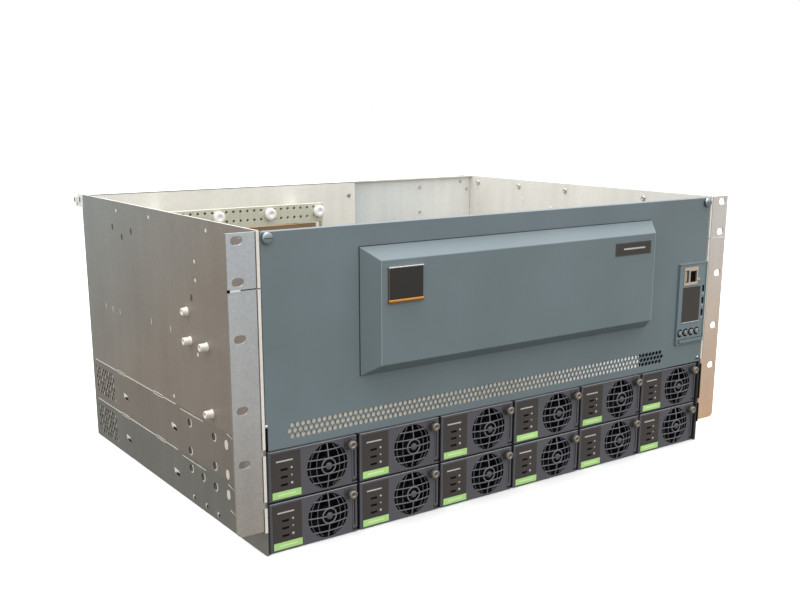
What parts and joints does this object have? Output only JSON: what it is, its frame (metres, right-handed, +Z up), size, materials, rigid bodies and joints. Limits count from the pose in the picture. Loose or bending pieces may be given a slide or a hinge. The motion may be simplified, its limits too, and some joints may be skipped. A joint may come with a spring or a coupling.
{
  "type": "rack-mounted dc power subrack",
  "caption": "Open-topped rack subrack with two rows of plug-in power modules with fans, a drop-down front door with raised cover, rack ears and a plug-in controller.",
  "frame": {"origin": "centre of the footprint of the whole object, on the underside of the lower shelf", "axes": "+X to the right seen from the front, +Y from the front to the rear, +Z up"},
  "size_m": [0.5842, 0.4384, 0.2667],
  "materials": {
    "galvanised_steel": "satin, mottled zinc",
    "ear_steel": "satin zinc",
    "pale_steel": "satin, very light",
    "door_paint": "fine-textured blue-grey powder coat",
    "bezel_plastic": "matte dark grey",
    "handle_plastic": "matte dark grey",
    "fan_black": "matte black",
    "connector_black": "matte black",
    "controller_plastic": "matte blue-grey",
    "screen": "dark display window",
    "button_metal": "satin",
    "nickel": "nickel plated",
    "tinned_busbar": "tin plated, sage grey",
    "copper": "bare copper"
  },
  "bodies": {
    "root": {"lower_shelf": "galvanised_steel", "upper_shelf": "galvanised_steel", "backplane": "connector_black", "left_side_panel": "galvanised_steel", "right_side_panel": "galvanised_steel", "rear_panel": "pale_steel", "distribution_deck": "galvanised_steel", "return_busbar": "tinned_busbar", "feed_busbar": "copper", "left_ear_upper": "ear_steel", "left_ear_lower": "ear_steel", "right_ear_upper": "ear_steel", "right_ear_lower": "ear_steel"},
    "door": {"front_door": "door_paint", "door_foot": "door_paint", "door_cover": "door_paint"},
    "door_screw_left": {"door_screw_left": "nickel"},
    "door_screw_right": {"door_screw_right": "nickel"},
    "controller": {"controller_housing": "controller_plastic", "controller_screen": "screen"},
    "controller_button_1": {"controller_button_1": "button_metal"},
    "controller_button_2": {"controller_button_2": "button_metal"},
    "controller_button_3": {"controller_button_3": "button_metal"},
    "controller_button_4": {"controller_button_4": "button_metal"},
    "rectifier_11": {"rectifier_11": "bezel_plastic"},
    "handle_11": {"handle_11": "handle_plastic"},
    "fan_11": {"fan_11": "fan_black"},
    "rectifier_12": {"rectifier_12": "bezel_plastic"},
    "handle_12": {"handle_12": "handle_plastic"},
    "fan_12": {"fan_12": "fan_black"},
    "rectifier_13": {"rectifier_13": "bezel_plastic"},
    "handle_13": {"handle_13": "handle_plastic"},
    "fan_13": {"fan_13": "fan_black"},
    "rectifier_14": {"rectifier_14": "bezel_plastic"},
    "handle_14": {"handle_14": "handle_plastic"},
    "fan_14": {"fan_14": "fan_black"},
    "rectifier_15": {"rectifier_15": "bezel_plastic"},
    "handle_15": {"handle_15": "handle_plastic"},
    "fan_15": {"fan_15": "fan_black"},
    "rectifier_16": {"rectifier_16": "bezel_plastic"},
    "handle_16": {"handle_16": "handle_plastic"},
    "fan_16": {"fan_16": "fan_black"},
    "rectifier_21": {"rectifier_21": "bezel_plastic"},
    "handle_21": {"handle_21": "handle_plastic"},
    "fan_21": {"fan_21": "fan_black"},
    "rectifier_22": {"rectifier_22": "bezel_plastic"},
    "handle_22": {"handle_22": "handle_plastic"},
    "fan_22": {"fan_22": "fan_black"},
    "rectifier_23": {"rectifier_23": "bezel_plastic"},
    "handle_23": {"handle_23": "handle_plastic"},
    "fan_23": {"fan_23": "fan_black"},
    "rectifier_24": {"rectifier_24": "bezel_plastic"},
    "handle_24": {"handle_24": "handle_plastic"},
    "fan_24": {"fan_24": "fan_black"},
    "rectifier_25": {"rectifier_25": "bezel_plastic"},
    "handle_25": {"handle_25": "handle_plastic"},
    "fan_25": {"fan_25": "fan_black"},
    "rectifier_26": {"rectifier_26": "bezel_plastic"},
    "handle_26": {"handle_26": "handle_plastic"},
    "fan_26": {"fan_26": "fan_black"}
  },
  "joints": [
    {"name": "door_hinge", "type": "hinge", "parent": "root", "child": "door", "pos_m": [0, -0.19925, 0.0925], "axis": [-1, 0, 0], "range_deg": [-90, 0]},
    {"name": "door_screw_left_turn", "type": "hinge", "parent": "door", "child": "door_screw_left", "pos_m": [-0.2582, -0.20305, 0.2606], "axis": [0, 1, 0], "continuous": true},
    {"name": "door_screw_right_turn", "type": "hinge", "parent": "door", "child": "door_screw_right", "pos_m": [0.2582, -0.20305, 0.2606], "axis": [0, 1, 0], "continuous": true},
    {"name": "controller_slide", "type": "slide", "parent": "root", "child": "controller", "axis": [0, -1, 0], "range_m": [0, 0.18]},
    {"name": "controller_button_1_press", "type": "slide", "parent": "controller", "child": "controller_button_1", "axis": [0, 1, 0], "range_m": [0, 0.001], "stiffness_N_per_m": 300},
    {"name": "controller_button_2_press", "type": "slide", "parent": "controller", "child": "controller_button_2", "axis": [0, 1, 0], "range_m": [0, 0.001], "stiffness_N_per_m": 300},
    {"name": "controller_button_3_press", "type": "slide", "parent": "controller", "child": "controller_button_3", "axis": [0, 1, 0], "range_m": [0, 0.001], "stiffness_N_per_m": 300},
    {"name": "controller_button_4_press", "type": "slide", "parent": "controller", "child": "controller_button_4", "axis": [0, 1, 0], "range_m": [0, 0.001], "stiffness_N_per_m": 300},
    {"name": "rectifier_11_slide", "type": "slide", "parent": "root", "child": "rectifier_11", "axis": [0, -1, 0], "range_m": [0, 0.26]},
    {"name": "handle_11_pivot", "type": "hinge", "parent": "rectifier_11", "child": "handle_11", "pos_m": [-0.17935, -0.19815, 0.0045], "axis": [1, 0, 0], "range_deg": [0, 75]},
    {"name": "fan_11_spin", "type": "hinge", "parent": "rectifier_11", "child": "fan_11", "pos_m": [-0.20605, -0.19475, 0.0215], "axis": [0, 1, 0], "continuous": true},
    {"name": "rectifier_12_slide", "type": "slide", "parent": "root", "child": "rectifier_12", "axis": [0, -1, 0], "range_m": [0, 0.26]},
    {"name": "handle_12_pivot", "type": "hinge", "parent": "rectifier_12", "child": "handle_12", "pos_m": [-0.09171, -0.19815, 0.0045], "axis": [1, 0, 0], "range_deg": [0, 75]},
    {"name": "fan_12_spin", "type": "hinge", "parent": "rectifier_12", "child": "fan_12", "pos_m": [-0.11841, -0.19475, 0.0215], "axis": [0, 1, 0], "continuous": true},
    {"name": "rectifier_13_slide", "type": "slide", "parent": "root", "child": "rectifier_13", "axis": [0, -1, 0], "range_m": [0, 0.26]},
    {"name": "handle_13_pivot", "type": "hinge", "parent": "rectifier_13", "child": "handle_13", "pos_m": [-0.00407, -0.19815, 0.0045], "axis": [1, 0, 0], "range_deg": [0, 75]},
    {"name": "fan_13_spin", "type": "hinge", "parent": "rectifier_13", "child": "fan_13", "pos_m": [-0.03077, -0.19475, 0.0215], "axis": [0, 1, 0], "continuous": true},
    {"name": "rectifier_14_slide", "type": "slide", "parent": "root", "child": "rectifier_14", "axis": [0, -1, 0], "range_m": [0, 0.26]},
    {"name": "handle_14_pivot", "type": "hinge", "parent": "rectifier_14", "child": "handle_14", "pos_m": [0.08357, -0.19815, 0.0045], "axis": [1, 0, 0], "range_deg": [0, 75]},
    {"name": "fan_14_spin", "type": "hinge", "parent": "rectifier_14", "child": "fan_14", "pos_m": [0.05687, -0.19475, 0.0215], "axis": [0, 1, 0], "continuous": true},
    {"name": "rectifier_15_slide", "type": "slide", "parent": "root", "child": "rectifier_15", "axis": [0, -1, 0], "range_m": [0, 0.26]},
    {"name": "handle_15_pivot", "type": "hinge", "parent": "rectifier_15", "child": "handle_15", "pos_m": [0.17121, -0.19815, 0.0045], "axis": [1, 0, 0], "range_deg": [0, 75]},
    {"name": "fan_15_spin", "type": "hinge", "parent": "rectifier_15", "child": "fan_15", "pos_m": [0.14451, -0.19475, 0.0215], "axis": [0, 1, 0], "continuous": true},
    {"name": "rectifier_16_slide", "type": "slide", "parent": "root", "child": "rectifier_16", "axis": [0, -1, 0], "range_m": [0, 0.26]},
    {"name": "handle_16_pivot", "type": "hinge", "parent": "rectifier_16", "child": "handle_16", "pos_m": [0.25885, -0.19815, 0.0045], "axis": [1, 0, 0], "range_deg": [0, 75]},
    {"name": "fan_16_spin", "type": "hinge", "parent": "rectifier_16", "child": "fan_16", "pos_m": [0.23215, -0.19475, 0.0215], "axis": [0, 1, 0], "continuous": true},
    {"name": "rectifier_21_slide", "type": "slide", "parent": "root", "child": "rectifier_21", "axis": [0, -1, 0], "range_m": [0, 0.26]},
    {"name": "handle_21_pivot", "type": "hinge", "parent": "rectifier_21", "child": "handle_21", "pos_m": [-0.17935, -0.19815, 0.04895], "axis": [1, 0, 0], "range_deg": [0, 75]},
    {"name": "fan_21_spin", "type": "hinge", "parent": "rectifier_21", "child": "fan_21", "pos_m": [-0.20605, -0.19475, 0.06595], "axis": [0, 1, 0], "continuous": true},
    {"name": "rectifier_22_slide", "type": "slide", "parent": "root", "child": "rectifier_22", "axis": [0, -1, 0], "range_m": [0, 0.26]},
    {"name": "handle_22_pivot", "type": "hinge", "parent": "rectifier_22", "child": "handle_22", "pos_m": [-0.09171, -0.19815, 0.04895], "axis": [1, 0, 0], "range_deg": [0, 75]},
    {"name": "fan_22_spin", "type": "hinge", "parent": "rectifier_22", "child": "fan_22", "pos_m": [-0.11841, -0.19475, 0.06595], "axis": [0, 1, 0], "continuous": true},
    {"name": "rectifier_23_slide", "type": "slide", "parent": "root", "child": "rectifier_23", "axis": [0, -1, 0], "range_m": [0, 0.26]},
    {"name": "handle_23_pivot", "type": "hinge", "parent": "rectifier_23", "child": "handle_23", "pos_m": [-0.00407, -0.19815, 0.04895], "axis": [1, 0, 0], "range_deg": [0, 75]},
    {"name": "fan_23_spin", "type": "hinge", "parent": "rectifier_23", "child": "fan_23", "pos_m": [-0.03077, -0.19475, 0.06595], "axis": [0, 1, 0], "continuous": true},
    {"name": "rectifier_24_slide", "type": "slide", "parent": "root", "child": "rectifier_24", "axis": [0, -1, 0], "range_m": [0, 0.26]},
    {"name": "handle_24_pivot", "type": "hinge", "parent": "rectifier_24", "child": "handle_24", "pos_m": [0.08357, -0.19815, 0.04895], "axis": [1, 0, 0], "range_deg": [0, 75]},
    {"name": "fan_24_spin", "type": "hinge", "parent": "rectifier_24", "child": "fan_24", "pos_m": [0.05687, -0.19475, 0.06595], "axis": [0, 1, 0], "continuous": true},
    {"name": "rectifier_25_slide", "type": "slide", "parent": "root", "child": "rectifier_25", "axis": [0, -1, 0], "range_m": [0, 0.26]},
    {"name": "handle_25_pivot", "type": "hinge", "parent": "rectifier_25", "child": "handle_25", "pos_m": [0.17121, -0.19815, 0.04895], "axis": [1, 0, 0], "range_deg": [0, 75]},
    {"name": "fan_25_spin", "type": "hinge", "parent": "rectifier_25", "child": "fan_25", "pos_m": [0.14451, -0.19475, 0.06595], "axis": [0, 1, 0], "continuous": true},
    {"name": "rectifier_26_slide", "type": "slide", "parent": "root", "child": "rectifier_26", "axis": [0, -1, 0], "range_m": [0, 0.26]},
    {"name": "handle_26_pivot", "type": "hinge", "parent": "rectifier_26", "child": "handle_26", "pos_m": [0.25885, -0.19815, 0.04895], "axis": [1, 0, 0], "range_deg": [0, 75]},
    {"name": "fan_26_spin", "type": "hinge", "parent": "rectifier_26", "child": "fan_26", "pos_m": [0.23215, -0.19475, 0.06595], "axis": [0, 1, 0], "continuous": true}
  ]
}
